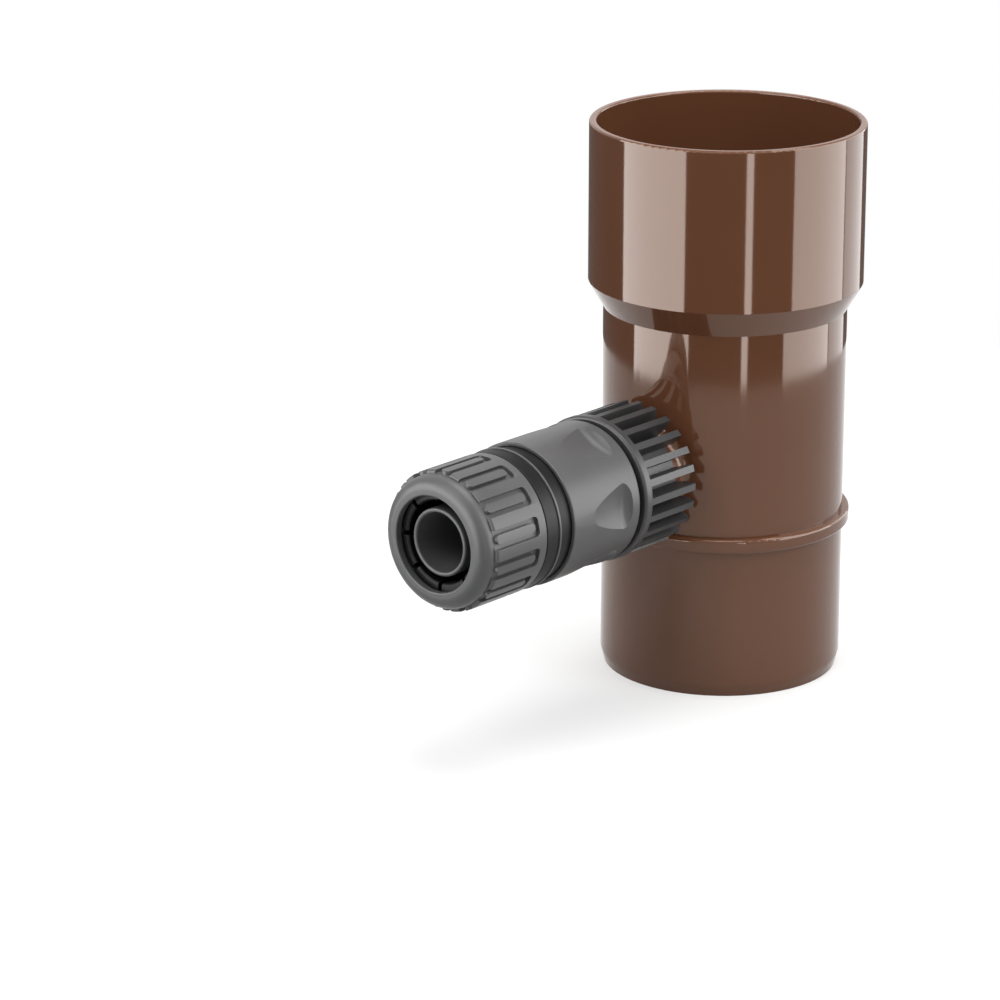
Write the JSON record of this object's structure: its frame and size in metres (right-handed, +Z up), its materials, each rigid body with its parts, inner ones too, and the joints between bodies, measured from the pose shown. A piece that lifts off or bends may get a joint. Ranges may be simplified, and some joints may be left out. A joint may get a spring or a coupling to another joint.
{
  "type": "rainwater diverter",
  "caption": "Socketed downpipe section with an inner catch trough and a threaded side outlet that carries a strainer, a finned screw adapter and a push-fit hose connector",
  "frame": {"origin": "centre of the pipe's open lower end, on the plane of that end", "axes": "+Z up along the pipe, -Y along the side outlet towards the hose, +X to the right of the outlet"},
  "size_m": [0.0957, 0.1986, 0.196],
  "materials": {
    "pipe_plastic": "gloss",
    "seal_rubber": "matte",
    "strainer_plastic": "matte",
    "adapter_plastic": "satin",
    "connector_plastic": "satin",
    "black_plastic": "satin"
  },
  "bodies": {
    "pipe": {"diverter_body": "pipe_plastic"},
    "seal": {"outlet_gasket": "seal_rubber", "strainer_disc": "strainer_plastic"},
    "adapter": {"outlet_adapter": "adapter_plastic"},
    "o_ring": {"nipple_o_ring": "seal_rubber"},
    "connector": {"connector_body": "connector_plastic", "locking_claws": "black_plastic", "nut_stop_ring": "black_plastic"},
    "sleeve": {"release_sleeve": "connector_plastic"},
    "collet": {"hose_collet": "black_plastic"},
    "nut": {"hose_nut": "connector_plastic"}
  },
  "joints": [
    {"name": "adapter_advance", "type": "slide", "parent": "pipe", "child": "seal", "axis": [0, -1, 0], "range_m": [0, 0.0185]},
    {"name": "adapter_turn", "type": "hinge", "parent": "seal", "child": "adapter", "pos_m": [0, -0.06, 0.08], "axis": [0, -1, 0], "range_deg": [0, 2880]},
    {"name": "connector_swivel", "type": "hinge", "parent": "adapter", "child": "o_ring", "pos_m": [0, -0.098, 0.08], "axis": [0, -1, 0], "continuous": true},
    {"name": "connector_pull", "type": "slide", "parent": "o_ring", "child": "connector", "axis": [0, -1, 0], "range_m": [0, 0.06], "deforming": ["locking_claws"]},
    {"name": "sleeve_slide", "type": "slide", "parent": "connector", "child": "sleeve", "axis": [0, -1, 0], "range_m": [0, 0.0045], "stiffness_N_per_m": 600, "springref_m": -0.004},
    {"name": "nut_advance", "type": "slide", "parent": "connector", "child": "collet", "axis": [0, -1, 0], "range_m": [0, 0.0121]},
    {"name": "nut_turn", "type": "hinge", "parent": "collet", "child": "nut", "pos_m": [0, -0.136, 0.08], "axis": [0, -1, 0], "range_deg": [0, 1440]}
  ],
  "couplings": [
    {"joint": "adapter_advance", "follows": "adapter_turn", "m_per_rad": 0.00036749},
    {"joint": "nut_advance", "follows": "nut_turn", "m_per_rad": 0.00047746}
  ]
}
